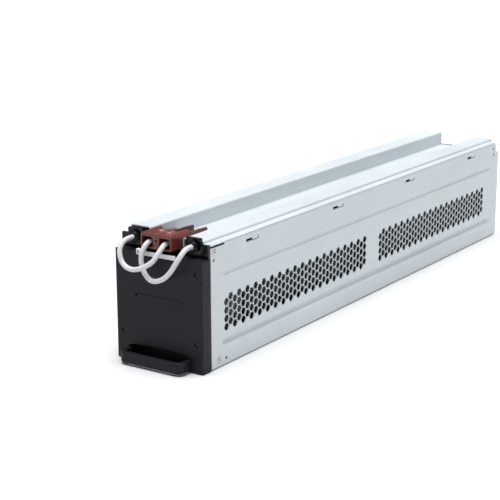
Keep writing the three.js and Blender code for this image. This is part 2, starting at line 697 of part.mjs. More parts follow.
// ---- everything in its place ------------------------------------------------------------------------
add("base_tray", makeTray(), GALVANISED);
add("front_bulkhead", makeBulkhead(), GALVANISED);
add("rear_cap", makeRearCap(), GALVANISED);
add("top_cover", makeCover(), GALVANISED);
add("front_panel", makeFrontPanel(), BLACK_PANEL);
add("pull_handle", makeHandle(), BLACK_PANEL);
add("connector_bracket", makeBracket(), BLACK_NYLON);

for (const [side, name] of sides) {
  add(`gland_body_${name}`, makeGland(side), BLACK_NYLON);
  add(`gland_nut_${name}`, makeHexNut(side, NUT_FRONT, PLATE.front - GAP), BLACK_NYLON);
  const locknutFront = PLATE.rear + GAP;
  add(`gland_locknut_${name}`, makeHexNut(side, locknutFront, locknutFront + LOCKNUT), BLACK_NYLON);
}

add("connector_housing", makeConnector(), RED_BROWN);
for (const [side, name] of sides) {
  add(`contact_${name}`, makeContact(side * POLE.x), SILVERED);
  add(`contact_spring_${name}`, makeContactSpring(side * POLE.x), STAINLESS);
}
add("lead_left", tube(leftLeadRoute, LEAD_RADIUS, 30), WHITE_LEAD);
add("lead_right", tube(rightLeadRoute, LEAD_RADIUS, 34), WHITE_LEAD);
add("cable_tie", makeTie(), NATURAL_NYLON);

for (let i = 0; i < BLOCKS; i += 1) {
  add(`battery_${i + 1}`, makeBlock(i), BLOCK_CASE);
}
for (let i = 0; i < BLOCKS - 1; i += 1) {
  if (i !== FUSE_BLOCK) {
    add(`jumper_${i + 1}`, makeJumper(i), i % 2 === 0 ? DARK_LEAD : RED_LEAD);
  }
}
add("fuse_lead_front", makeFuseLead(FUSE_BLOCK, 1), RED_LEAD);
add("fuse_lead_rear", makeFuseLead(FUSE_BLOCK + 1, -1), RED_LEAD);
add("string_fuse", makeFuse(), BLACK_NYLON);
add("positive_lead", makePositiveLead(), RED_LEAD);
add("negative_lead", makeNegativeLead(), DARK_LEAD);

const trayEnd = TRAY_REAR - SHEET - GAP;
const stringEnd = STRING_START + BLOCKS * BLOCK.pitch - (BLOCK.pitch - BLOCK.length);
add("floor_liner", box([-LINER.half, LINER.half], [LINER.front, trayEnd], LINER.z), CLEAR_FILM);
const padY = [stringEnd + GAP, trayEnd - GAP];
add("rear_pad", box([-REAR_PAD.half, REAR_PAD.half], padY, REAR_PAD.z), GREY_FOAM);
const spacerY = [SPACER.front, STRING_START - GAP];
add("front_spacer", box([-SPACER.half, SPACER.half], spacerY, SPACER.z), GREY_FOAM);
for (const [side, name] of sides) {
  const across = mirrorPair(side, SIDE_PAD.inner, SIDE_PAD.outer);
  add(`side_pad_${name}`, box(across, SIDE_PAD.y, SIDE_PAD.z), GREY_FOAM);
}
const insulator = box([-INSULATOR.half, INSULATOR.half], INSULATOR.y, INSULATOR.z);
add("cover_insulator", insulator, CLEAR_FILM);

let screwNumber = 0;
for (const [side] of sides) {
  for (const z of SCREW_Z) {
    screwNumber += 1;
    add(`front_screw_${screwNumber}`, makeFrontScrew(side, z), ZINC_SCREW);
  }
}
for (const [side, name] of sides) {
  add(`side_rivet_${name}_upper`, makeRivet(side, ...RIVETS[0]), STAINLESS);
  add(`side_rivet_${name}_lower`, makeRivet(side, ...RIVETS[1]), STAINLESS);
}
REAR_SCREW.places.forEach(([x, z], i) => add(`rear_screw_${i + 1}`, makeRearScrew(x, z), ZINC_SCREW));

export default group;
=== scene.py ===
"""The looks of a rack power supply's battery module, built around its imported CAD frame.

The case is folded galvanised sheet with perforated sides.  A moulded black panel with a pull handle
closes the front, and a red-brown two-pole connector sits on top of it, on two short leads.

Shapes are drawn in millimetres in the design's own axes: X across, Y back from the panel's face and
Z up from the underside.  place() turns them into the frame's metres.
"""
import math

import bmesh
import bpy
from mathutils import Matrix, Vector


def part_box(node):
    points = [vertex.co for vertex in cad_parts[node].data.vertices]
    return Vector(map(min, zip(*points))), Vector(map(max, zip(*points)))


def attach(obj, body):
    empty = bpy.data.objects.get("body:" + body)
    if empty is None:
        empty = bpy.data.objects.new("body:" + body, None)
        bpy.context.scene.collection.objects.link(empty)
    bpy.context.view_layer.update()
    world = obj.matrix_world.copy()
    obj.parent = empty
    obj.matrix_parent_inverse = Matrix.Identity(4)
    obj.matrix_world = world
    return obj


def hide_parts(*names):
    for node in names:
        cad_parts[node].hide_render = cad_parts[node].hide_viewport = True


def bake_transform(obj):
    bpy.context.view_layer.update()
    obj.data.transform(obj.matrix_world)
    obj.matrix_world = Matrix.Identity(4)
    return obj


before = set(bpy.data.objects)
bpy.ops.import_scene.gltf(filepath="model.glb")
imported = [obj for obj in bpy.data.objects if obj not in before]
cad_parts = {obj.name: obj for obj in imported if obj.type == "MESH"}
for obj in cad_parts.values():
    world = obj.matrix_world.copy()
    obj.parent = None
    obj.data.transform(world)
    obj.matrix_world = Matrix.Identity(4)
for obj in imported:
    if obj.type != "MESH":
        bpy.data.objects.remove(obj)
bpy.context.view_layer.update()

# ---- sizes taken from the frame, in millimetres ------------------------------------------------
MM = 0.001
BEAD_PROUD = 0.8                                     # the panel's raised bead, its foremost point
FACE_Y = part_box("front_panel")[0].y + BEAD_PROUD * MM


def place(x, y, z):
    """A point of the design, in millimetres, as a point of the frame, in metres."""
    return Vector((x * MM, FACE_Y + y * MM, z * MM))


def node_box(node):
    """(x0, x1), (y0, y1), (z0, z1) of a CAD node, in the design's millimetres."""
    low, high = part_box(node)
    y = [round((v.y - FACE_Y) / MM, 3) for v in (low, high)]
    x, z = ([round(getattr(v, axis) / MM, 3) for v in (low, high)] for axis in "xz")
    return tuple(x), tuple(y), tuple(z)


SHEET = 1.2
(_, HALF), (TRAY_FRONT, WALL_REAR), (_, WALL_TOP) = node_box("base_tray")
_, (COVER_FRONT, COVER_REAR), (_, RIDGE_TOP) = node_box("top_cover")
PANEL_TOP = node_box("front_panel")[2][1]
PANEL_DEPTH = 14.0
PANEL_SCREWS = [(x, z) for x in (-44.5, 44.5) for z in (29, 98)]
CAP_SCREWS = [(x, z) for x in (-40, 40) for z in (56, 102)]
BEAD = {"half": 26.5, "z": 67.7, "radius": 1.7}         # the panel's bead: half length, height, half width
TRAY_REAR = 650.0                                    # outer face of the rear wall, between the side walls
REAR_STEP = 111.4                                    # above this the walls end level with the rear wall

# Upper faces of the cover, from left to right: strip, ridge, channel, plateau, strip
STRIP_TOP = 124.6
CHANNEL_TOP = 116.8
PLATEAU_TOP = 127.8
STRIP_INNER = 43.4
CHANNEL_HALF = 19.5
RIDGE_REAR = 635.0
STRIP_REAR = 646.0
BEND = 0.7                                           # inner radius of the sheet's bends

# Side walls
BEADS = ((23.2, 4.8, 2.6), (92.2, 3.0, 1.3))            # height of the middle, half width and depth
BEAD_ENDS = {"front": 31.0, "rear": 638.0, "fade": 7.0}
HEX = {"flats": 7.55, "pitch": 8.36, "columns": 38, "rows": 4, "low": 38.4, "groups": (39.5, 343.5)}
HOOK = {"first": 73.5, "pitch": 163.9, "count": 4, "z": 116.5, "window": 11.0, "height": 3.2}
RIVETS = ((20.5, 117.0), (27.0, 8.2))
PLAIN_HOLES = ((19.0, 109.2), (38.5, 7.2))

GLAND_X = 35.2
GLAND_Z = 122.7
NUT_FLATS = 12.0                                     # across the flats
LEAD_DIAMETER = 5.0

# ---- camera, at the photograph's angle ---------------------------------------------------------
CAMERA = {"at": (794.4, -1012.5, 456.5), "yaw": 34.2, "pitch": -14.86, "roll": -0.25, "lens": 100.8}


def make_camera():
    data = bpy.data.cameras.new("camera")
    data.lens = CAMERA["lens"]
    data.sensor_width = 36.0
    data.clip_start = 0.05
    data.clip_end = 50.0
    camera = bpy.data.objects.new("camera", data)
    bpy.context.scene.collection.objects.link(camera)
    camera.location = place(*CAMERA["at"])
    yaw, pitch, roll = (math.radians(CAMERA[key]) for key in ("yaw", "pitch", "roll"))
    turned_to = (
        Matrix.Rotation(yaw, 3, "Z")
        @ Matrix.Rotation(math.pi / 2 + pitch, 3, "X")
        @ Matrix.Rotation(roll, 3, "Z")
    )
    camera.rotation_euler = turned_to.to_euler()
    bpy.context.scene.camera = camera


make_camera()


# ---- node materials ----------------------------------------------------------------------------
class Nodes:
    """A short way to add nodes to a material and join them."""

    def __init__(self, name):
        self.material = bpy.data.materials.new(name)
        self.material.use_nodes = True
        self.tree = self.material.node_tree
        self.shader = self.tree.nodes["Principled BSDF"]
        self.coordinates = self.tree.nodes.new("ShaderNodeTexCoord").outputs["Object"]

    def add(self, kind, **settings):
        node = self.tree.nodes.new("ShaderNode" + kind)
        for key, value in settings.items():
            setattr(node, key, value)
        return node

    def link(self, output, socket):
        self.tree.links.new(output, socket)

    def noise(self, scale, stretch=(1, 1, 1), detail=3.0, roughness=0.55, seed=0.0):
        """Noise between 0 and 1; scale is in features per metre."""
        mapping = self.add("Mapping")
        mapping.inputs["Scale"].default_value = stretch
        mapping.inputs["Location"].default_value = (seed, seed * 0.7, seed * 0.3)
        self.link(self.coordinates, mapping.inputs["Vector"])
        noise = self.add("TexNoise")
        noise.inputs["Scale"].default_value = scale
        noise.inputs["Detail"].default_value = detail
        noise.inputs["Roughness"].default_value = roughness
        self.link(mapping.outputs["Vector"], noise.inputs["Vector"])
        return noise.outputs["Fac"]

    def spread(self, value, low, high, source=(0.3, 0.7)):
        """Maps a value from the source range onto low to high."""
        node = self.add("MapRange", clamp=True)
        node.inputs["From Min"].default_value = source[0]
        node.inputs["From Max"].default_value = source[1]
        node.inputs["To Min"].default_value = low
        node.inputs["To Max"].default_value = high
        self.link(value, node.inputs["Value"])
        return node.outputs["Result"]

    def math(self, operation, a, b):
        node = self.add("Math", operation=operation)
        for socket, value in zip(node.inputs, (a, b)):
            if isinstance(value, (int, float)):
                socket.default_value = value
            else:
                self.link(value, socket)
        return node.outputs[0]

    def mix(self, factor, a, b):
        """A colour between a and b; either may be a colour or another node's output."""
        node = self.add("Mix", data_type="RGBA")
        self.link(factor, node.inputs["Factor"])
        for socket, value in ((node.inputs[6], a), (node.inputs[7], b)):
            if isinstance(value, tuple):
                socket.default_value = (*value, 1.0)
            else:
                self.link(value, socket)
        return node.outputs[2]

    def bump(self, height, distance, strength=1.0, under=None):
        node = self.add("Bump")
        node.inputs["Strength"].default_value = strength
        node.inputs["Distance"].default_value = distance
        self.link(height, node.inputs["Height"])
        if under is not None:
            self.link(under, node.inputs["Normal"])
        return node.outputs["Normal"]

    def set(self, **values):
        """Principled inputs, by name with underscores for spaces."""
        for key, value in values.items():
            socket = self.shader.inputs[key.replace("_", " ")]
            if isinstance(value, (int, float)):
                socket.default_value = value
            elif isinstance(value, tuple):
                socket.default_value = (*value, 1.0) if len(value) == 3 else value
            else:
                self.link(value, socket)
        return self


def shade(color, factor):
    return tuple(min(1.0, c * factor) for c in color)


def galvanised():
    """Zinc-coated sheet: fine rolling grain along Y, faint crystals, dull patches and handling marks."""
    n = Nodes("galvanised_sheet")
    base = (0.555, 0.60, 0.625)
    patches = n.noise(9, detail=4, seed=3)
    grain = n.noise(900, stretch=(1, 0.03, 1), detail=4, seed=1)
    crystals = n.add("TexVoronoi")
    crystals.inputs["Scale"].default_value = 260
    n.link(n.coordinates, crystals.inputs["Vector"])
    tone = n.mix(n.spread(patches, 0, 1), shade(base, 0.93), shade(base, 1.06))
    tone = n.mix(n.spread(grain, 0, 0.35), tone, shade(base, 0.86))
    flakes = n.add("RGBToBW")
    n.link(crystals.outputs["Color"], flakes.inputs["Color"])
    tone = n.mix(n.spread(flakes.outputs[0], 0, 0.16, (0.2, 0.8)), tone, shade(base, 1.16))
    marks = n.noise(60, stretch=(1, 0.15, 2.2), detail=6, roughness=0.7, seed=8)
    rough = n.math("ADD", n.spread(patches, 0.34, 0.46), n.spread(marks, 0, 0.12, (0.55, 0.75)))
    fine = n.bump(grain, 0.00004, 0.35)
    n.set(Base_Color=tone, Roughness=rough, Metallic=0.15, Normal=n.bump(patches, 0.0012, 0.18, fine))
    return n.material


def moulding(name, base, roughness, grain_scale=1500, grain_depth=0.00005, specular=0.5, lighter=1.3):
    """Moulded plastic with a fine grain, faint flow marks and rubbed, slightly shinier patches."""
    n = Nodes(name)
    flow = n.noise(22, stretch=(1, 0.5, 1.6), detail=4, seed=2)
    fine = n.noise(grain_scale, detail=2, seed=5)
    rubs = n.noise(70, stretch=(1.6, 1, 0.35), detail=6, roughness=0.72, seed=9)
    tone = n.mix(n.spread(flow, 0, 1), shade(base, 0.88), shade(base, 1.12))
    tone = n.mix(n.spread(rubs, 0, 0.5, (0.58, 0.8)), tone, shade(base, lighter))
    rough = n.math("SUBTRACT", n.spread(flow, roughness - 0.04, roughness + 0.05),
                   n.spread(rubs, 0, 0.1, (0.55, 0.8)))
    n.set(Base_Color=tone, Roughness=rough, Normal=n.bump(fine, grain_depth, 0.6),
          Specular_IOR_Level=specular)
    return n.material


def metal(name, base, roughness, stretch=(1, 0.08, 1), scale=1400):
    """Bare or plated metal with machining marks and a little tarnish."""
    n = Nodes(name)
    lines = n.noise(scale, stretch=stretch, detail=4, seed=4)
    tarnish = n.noise(160, detail=5, seed=7)
    tone = n.mix(n.spread(tarnish, 0, 1), shade(base, 0.8), base)
    rough = n.math("ADD", n.spread(lines, roughness - 0.05, roughness + 0.07), n.spread(tarnish, 0, 0.1))
    n.set(Base_Color=tone, Roughness=rough, Metallic=1.0, Normal=n.bump(lines, 0.00002, 0.4))
    return n.material


def insulation(name, base, roughness):
    """Extruded wire insulation: faint dull streaks and a soft orange-peel surface."""
    n = Nodes(name)
    peel = n.noise(620, detail=2, seed=6)
    dirt = n.noise(85, detail=5, roughness=0.65, seed=12)
    tone = n.mix(n.spread(dirt, 0, 0.55, (0.48, 0.72)), base, shade(base, 0.82))
    rough = n.spread(dirt, roughness - 0.05, roughness + 0.12)
    n.set(Base_Color=tone, Roughness=rough, Normal=n.bump(peel, 0.00012, 0.35), Subsurface_Weight=0.08)
    n.set(Subsurface_Scale=0.001)
    return n.material


def foam():
    """Open-cell foam: small pits and a mottled grey."""
    n = Nodes("foam")
    cells = n.add("TexVoronoi")
    cells.inputs["Scale"].default_value = 900
    n.link(n.coordinates, cells.inputs["Vector"])
    mottle = n.noise(140, detail=5, seed=14)
    tone = n.mix(n.spread(mottle, 0, 1), (0.05, 0.052, 0.058), (0.1, 0.105, 0.11))
    n.set(Base_Color=tone, Roughness=0.95, Normal=n.bump(cells.outputs["Distance"], 0.0004, 0.8))
    return n.material


def film():
    """Insulating film: translucent, slightly wrinkled."""
    n = Nodes("film")
    wrinkles = n.noise(45, detail=4, seed=15)
    haze = n.noise(200, detail=3, seed=16)
    tone = n.mix(n.spread(haze, 0, 1), (0.62, 0.66, 0.6), (0.72, 0.75, 0.7))
    n.set(Base_Color=tone, Roughness=n.spread(haze, 0.25, 0.4), Normal=n.bump(wrinkles, 0.001, 0.5))
    n.set(Transmission_Weight=0.25, IOR=1.48)
    return n.material


GALVANISED = galvanised()
PANEL = moulding("panel_plastic", (0.0118, 0.0108, 0.0152), 0.42, specular=0.15)
NYLON = moulding("black_nylon", (0.002, 0.002, 0.003), 0.15, grain_scale=2400, grain_depth=0.00002,
                 specular=0.25)
CONNECTOR = moulding("connector_plastic", (0.112, 0.022, 0.0175), 0.32, grain_scale=1900,
                     grain_depth=0.00003, lighter=1.4)
BLOCK_CASE = moulding("block_case", (0.012, 0.013, 0.015), 0.6, grain_scale=900, grain_depth=0.00008,
                      specular=0.2)
NATURAL = moulding("natural_nylon", (0.66, 0.66, 0.67), 0.42, grain_scale=1600, lighter=1.05)
SILVERED = metal("silvered_copper", (0.80, 0.79, 0.76), 0.22)
STAINLESS = metal("stainless", (0.62, 0.62, 0.63), 0.3)
BLACK_ZINC = metal("screw_steel", (0.05, 0.05, 0.058), 0.38, stretch=(1, 1, 1))
WHITE_LEAD = insulation("lead_insulation", (0.56, 0.56, 0.58), 0.3)
RED_WIRE = insulation("wiring_red", (0.36, 0.022, 0.018), 0.4)
BLACK_WIRE = insulation("wiring_black", (0.018, 0.018, 0.02), 0.42)
FOAM = foam()
FILM = film()


# ---- mesh building -----------------------------------------------------------------------------
def object_from(name, bm, material=None):
    """Makes an object from a bmesh in the design's millimetres, left in millimetres."""
    bmesh.ops.recalc_face_normals(bm, faces=bm.faces)
    mesh = bpy.data.meshes.new(name)
    bm.to_mesh(mesh)
    bm.free()
    if material is not None:
        mesh.materials.append(material)
    made = bpy.data.objects.new(name, mesh)
    bpy.context.scene.collection.objects.link(made)
    return made


def bake_modifiers(piece):
    """Applies the piece's modifiers to its mesh."""
    bpy.context.view_layer.update()
    evaluated = piece.evaluated_get(bpy.context.evaluated_depsgraph_get())
    mesh = bpy.data.meshes.new_from_object(evaluated)
    old = piece.data
    piece.modifiers.clear()
    piece.data = mesh
    bpy.data.meshes.remove(old)
    return piece


def boolean(piece, tools, operation):
    """Cuts the tools' solids from the piece, or joins them to it, and removes the tools."""
    for i, tool in enumerate(tools):
        modifier = piece.modifiers.new(f"tool_{i}", "BOOLEAN")
        modifier.operation = operation
        modifier.solver = "MANIFOLD"
        modifier.object = tool
    bake_modifiers(piece)
    for tool in tools:
        bpy.data.objects.remove(tool)
    return piece


def clean_flats(piece, angle=0.4):
    """Joins the triangles that a boolean leaves on flat faces."""
    bm = bmesh.new()
    bm.from_mesh(piece.data)
    bmesh.ops.dissolve_limit(bm, angle_limit=math.radians(angle), verts=bm.verts, edges=bm.edges)
    bm.to_mesh(piece.data)
    bm.free()
    return piece


def bevel(piece, width, segments=2, angle=32):
    modifier = piece.modifiers.new("bevel", "BEVEL")
    modifier.width = width
    modifier.segments = segments
    modifier.limit_method = "ANGLE"
    modifier.angle_limit = math.radians(angle)
    modifier.use_clamp_overlap = True
    return bake_modifiers(piece)


def settle(piece, body, replaced=(), smooth_angle=35):
    """Puts a finished piece into the frame: metres, smooth shading, its body and CAD nodes."""
    mesh = piece.data
    for vertex in mesh.vertices:
        vertex.co = place(*vertex.co)
    mesh.shade_smooth()
    mesh.set_sharp_from_angle(angle=math.radians(smooth_angle))
    modifier = piece.modifiers.new("weighted_normals", "WEIGHTED_NORMAL")
    modifier.keep_sharp = True
    bake_modifiers(piece)
    if body is not None:
        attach(piece, body)
    if replaced:
        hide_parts(*replaced)
    return piece


def loft(rings, closed_ends=True):
    """A skin over rings of points, each ring closed on itself."""
    bm = bmesh.new()
    rows = [[bm.verts.new(p) for p in ring] for ring in rings]
    count = len(rows[0])
    for a, b in zip(rows, rows[1:]):
        for i in range(count):
            j = (i + 1) % count
            bm.faces.new((a[i], a[j], b[j], b[i]))
    if closed_ends:
        bm.faces.new(rows[0])
        bm.faces.new(rows[-1])
    return bm


def prism(outline, axis, low, high):
    """An outline of two coordinates, carried along the axis that they leave out."""
    lifts = {
        "X": lambda a, b, t: (t, a, b),
        "Y": lambda a, b, t: (a, t, b),
        "Z": lambda a, b, t: (a, b, t),
    }
    lift = lifts[axis]
    return loft([[lift(a, b, t) for a, b in outline] for t in (low, high)])


def block(x, y, z, radius=0.0, segments=2):
    """A box between two values on each axis, with its edges rounded."""
    outline = [(x[0], y[0]), (x[1], y[0]), (x[1], y[1]), (x[0], y[1])]
    bm = prism(outline, "Z", *z)
    if radius:
        bmesh.ops.bevel(bm, geom=bm.edges[:], offset=radius, segments=segments, profile=0.5,
                        affect="EDGES", clamp_overlap=True)
    return bm


def circle(radius, a, b, count, turn=0.0):
    angles = [turn + 2 * math.pi * i / count for i in range(count)]
    return [(a + radius * math.cos(t), b + radius * math.sin(t)) for t in angles]


def turned(profile, axis, centre, count=24):
    """A round piece about a line along the axis: profile is (distance along, radius), ends closed."""
    rings = []
    for along, radius in profile:
        ring = circle(max(radius, 0.01), *centre, count)
        rings.append([(along, a, b) if axis == "X" else (a, along, b) for a, b in ring])
    return loft(rings)


def merge(*parts):
    """Several separate solids as one bmesh."""
    joined = bmesh.new()
    for part in parts:
        mesh = bpy.data.meshes.new("part")
        part.to_mesh(mesh)
        part.free()
        joined.from_mesh(mesh)
        bpy.data.meshes.remove(mesh)
    return joined


def rounded(outline, radii, steps=5):
    """A closed outline with each corner rounded to its own radius."""
    points = []
    count = len(outline)
    for i in range(count):
        before, corner, after = (Vector(outline[(i + k) % count]) for k in (-1, 0, 1))
        radius = radii[i] if hasattr(radii, "__len__") else radii
        a = (before - corner).normalized()
        b = (after - corner).normalized()
        half_angle = a.angle(b) / 2
        if radius <= 0 or half_angle > math.pi / 2 - 0.01:
            points.append(tuple(corner))
            continue
        middle = corner + (a + b).normalized() * (radius / math.sin(half_angle))
        start = corner + a * (radius / math.tan(half_angle)) - middle
        end = corner + b * (radius / math.tan(half_angle)) - middle
        sweep = math.pi - 2 * half_angle
        for k in range(steps + 1):
            weight_a = math.sin(sweep * (1 - k / steps)) / math.sin(sweep)
            weight_b = math.sin(sweep * k / steps) / math.sin(sweep)
            direction = start * weight_a + end * weight_b
            points.append(tuple(middle + direction))
    return points


def folded(path, thickness, inner_radius, steps=4):
    """Outer and inner lines of a folded sheet. The path is its outer line with sharp corners, and the
    sheet lies on the right of it."""
    outer, inner = [], []
    last = len(path) - 1
    for i, point in enumerate(path):
        here = Vector(point)
        ahead = (Vector(path[min(i + 1, last)]) - Vector(path[min(i, last - 1)])).normalized()
        behind = (Vector(path[max(i, 1)]) - Vector(path[max(i - 1, 0)])).normalized()
        turn = behind.x * ahead.y - behind.y * ahead.x
        right = Vector((ahead.y, -ahead.x))
        if abs(turn) < 1e-6:
            outer.append(tuple(here))
            inner.append(tuple(here + right * thickness))
            continue
        radius_outer = inner_radius if turn > 0 else inner_radius + thickness
        radius_inner = inner_radius + thickness if turn > 0 else inner_radius
        side = -1 if turn > 0 else 1
        behind_right = Vector((behind.y, -behind.x))
        bisector = (right + behind_right).normalized()
        reach = radius_outer / bisector.dot(right)
        centre = here + bisector * side * reach
        for k in range(steps + 1):
            mixed = (behind_right * (1 - k / steps) + right * (k / steps)).normalized()
            outer.append(tuple(centre - mixed * side * radius_outer))
            inner.append(tuple(centre - mixed * side * radius_inner))
    return outer, inner


def sheet(path, stations, thickness=SHEET, inner_radius=BEND):
    """A folded sheet carried along Y through the stations."""
    outer, inner = folded(path, thickness, inner_radius)
    ring = outer + inner[::-1]
    bm = bmesh.new()
    rows = [[bm.verts.new((x, y, z)) for x, z in ring] for y in stations]
    count = len(ring)
    for a, b in zip(rows, rows[1:]):
        for i in range(count):
            j = (i + 1) % count
            bm.faces.new((a[i], a[j], b[j], b[i]))
    for row in (rows[0], rows[-1]):
        for i in range(len(outer) - 1):
            bm.faces.new((row[i], row[i + 1], row[count - 2 - i], row[count - 1 - i]))
    return bm


# ---- the two leads, from each gland to the connector's opposite pole ---------------------------
LEFT_ROUTE = [
    (-35.2, 6.8, 122.7), (-35.2, 1.5, 122.7), (-35.3, -5.4, 121.8), (-35.2, -11.4, 117.8),
    (-34.2, -14.6, 111.4), (-30.4, -16, 103.6), (-23.8, -16.68, 99.2), (-15.8, -16.86, 98.4),
    (-7.2, -16.6, 100.8), (0.2, -15.2, 104.8), (5.4, -13.4, 109.2), (8.1, -10.2, 115),
    (9.3, -5.8, 119.8), (9.5, -1.4, 122.7), (9.5, 4.2, 123.5),
]
RIGHT_ROUTE = [
    (35.2, 6.8, 122.7), (35.2, 1.8, 122.7), (35.2, -4, 121.2), (33.6, -9.2, 116),
    (29.6, -12.2, 108), (24.0, -12.8, 100), (16.0, -12.4, 93), (6.4, -11.8, 89),
    (-1.2, -11.2, 89.6), (-7.6, -10.6, 94.8), (-11.6, -9.8, 102.4), (-12.2, -9, 111),
    (-10.9, -6.4, 118.4), (-9.8, -1.8, 122.6), (-9.5, 4.2, 123.5),
]


def smooth_route(points, steps=8):
    """A smooth line through given points."""
    route = [Vector(p) for p in points]
    padded = [route[0] * 2 - route[1], *route, route[-1] * 2 - route[-2]]
    line = []
    for i in range(1, len(padded) - 2):
        a, b, c, d = padded[i - 1:i + 3]
        for k in range(steps):
            t = k / steps
            line.append(0.5 * (2 * b + (c - a) * t + (2 * a - 5 * b + 4 * c - d) * t * t
                               + (3 * b - 3 * c + d - a) * t ** 3))
    line.append(route[-1])
    return line


def tube(line, radius, count=20):
    """A round tube along a line, its section carried forward without twist."""
    rings = []
    ahead = (line[1] - line[0]).normalized()
    side = ahead.orthogonal().normalized()
    for i, point in enumerate(line):
        direction = (line[min(i + 1, len(line) - 1)] - line[max(i - 1, 0)]).normalized()
        side = (side - direction * side.dot(direction)).normalized()
        up = direction.cross(side)
        ring = []
        for k in range(count):
            angle = 2 * math.pi * k / count
            ring.append(point + (side * math.cos(angle) + up * math.sin(angle)) * radius)
        rings.append(ring)
    return loft(rings)


def make_lead(name, route):
    line = smooth_route(route)
    lead = object_from(name, tube(line, LEAD_DIAMETER / 2), WHITE_LEAD)
    settle(lead, None, [name.replace("visible_", "")])
    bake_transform(lead)


make_lead("visible_lead_left", LEFT_ROUTE)
make_lead("visible_lead_right", RIGHT_ROUTE)


# ---- tray: floor, perforated and beaded sides, rear wall ---------------------------------------
def bead_depth(y, z):
    """How far a side wall is pressed in at this place."""
    along = min(y - BEAD_ENDS["front"], BEAD_ENDS["rear"] - y) / BEAD_ENDS["fade"]
    along = max(0.0, min(1.0, along))
    ease = along * along * (3 - 2 * along)
    depth = 0.0
    for middle, half, deepest in BEADS:
        across = min(1.0, abs(z - middle) / half)
        depth += deepest * ease * (0.5 + 0.5 * math.cos(math.pi * across))
    return depth


def tray_stations():
    """Where the tray's skin has rows: its ends, and closely round each bead's ends."""
    inside = [BEAD_ENDS["front"] + BEAD_ENDS["fade"] * k / 6 for k in range(7)]
    outside = [BEAD_ENDS["rear"] - BEAD_ENDS["fade"] * k / 6 for k in range(7)]
    return [TRAY_FRONT, *inside, *sorted(outside), WALL_REAR]


def hex_prisms():
    """One prism across the whole case for each hexagonal hole, so that both sides are cut alike."""
    column_pitch = HEX["pitch"] * math.sqrt(3) / 2
    prisms = []
    for start in HEX["groups"]:
        for column in range(HEX["columns"]):
            lift = HEX["pitch"] / 2 if column % 2 else 0
            for row_number in range(HEX["rows"]):
                y = start + column * column_pitch
                z = HEX["low"] + lift + row_number * HEX["pitch"]
                prisms.append(prism(circle(HEX["flats"] / math.sqrt(3), y, z, 6), "X", -HALF - 3, HALF + 3))
    return merge(*prisms)


def side_cutters():
    """Windows, slits and holes through both side walls."""
    reach = (-HALF - 4, HALF + 4)
    cutters = []
    for i in range(HOOK["count"]):
        y = HOOK["first"] + i * HOOK["pitch"]
        low = HOOK["z"] - HOOK["height"] / 2
        window = [(y, low), (y + HOOK["window"], low), (y + HOOK["window"], low + HOOK["height"]),
                  (y, low + HOOK["height"])]
        cutters.append(prism(rounded(window, 0.5, 3), "X", *reach))
        slit_end = y + HOOK["window"] + 11
        slit = [(y + HOOK["window"] - 0.2, low), (slit_end, low), (slit_end, low + 3.4),
                (slit_end - 1.6, low + 3.4), (slit_end - 1.6, low + 1.0),
                (y + HOOK["window"] - 0.2, low + 1.0)]
        cutters.append(prism(slit, "X", *reach))
    for y, z in RIVETS:
        cutters.append(prism(circle(1.9, y, z, 16), "X", *reach))
    for y, z in PLAIN_HOLES:
        cutters.append(prism(circle(1.7, y, z, 16), "X", *reach))
    rear_slot = [(640, 114.6), (643, 114.6), (643, 119.2), (640, 119.2)]
    cutters.append(prism(rounded(rear_slot, 1.2, 3), "X", *reach))
    cutters.append(prism(circle(1.9, 643.6, 108.9, 14), "X", *reach))
    # Above the cap the walls end level with the rear wall, in a rounded corner
    arc = [(TRAY_REAR - 5 + 5 * math.sin(t), WALL_TOP - 5 + 5 * math.cos(t))
           for t in (math.pi / 2 * k / 8 for k in range(9))]
    inner = [(TRAY_REAR + 0.8 * (1 - math.sin(t)), REAR_STEP + 0.8 * (1 - math.cos(t)))
             for t in (math.pi / 2 * (1 - k / 4) for k in range(5))]
    step = [*arc, *inner, (WALL_REAR + 5, REAR_STEP), (WALL_REAR + 5, WALL_TOP + 5),
            (TRAY_REAR - 5, WALL_TOP + 5)]
    cutters.append(prism(step, "X", *reach))
    front_slit = [(0, WALL_TOP - 1.8), (37, WALL_TOP - 1.8), (37, WALL_TOP + 3), (0, WALL_TOP + 3)]
    cutters.append(prism(front_slit, "X", *reach))
    for corner_z, away, radius in ((REAR_STEP, 1, 1.6), (0, -1, 6.0)):
        arc = [(WALL_REAR - radius + radius * math.sin(t), corner_z + away * radius * (math.cos(t) - 1))
               for t in (math.pi / 2 * k / 8 for k in range(9))]
        outline = [*arc, (WALL_REAR + 5, arc[-1][1]), (WALL_REAR + 5, corner_z + away * 2),
                   (arc[0][0], corner_z + away * 2)]
        cutters.append(prism(outline if away > 0 else outline[::-1], "X", *reach))
    between_walls = (-HALF + SHEET + 0.05, HALF - SHEET - 0.05)
    cutters.append(block(between_walls, (TRAY_REAR, WALL_REAR + 1), (-1, 3)))
    return cutters


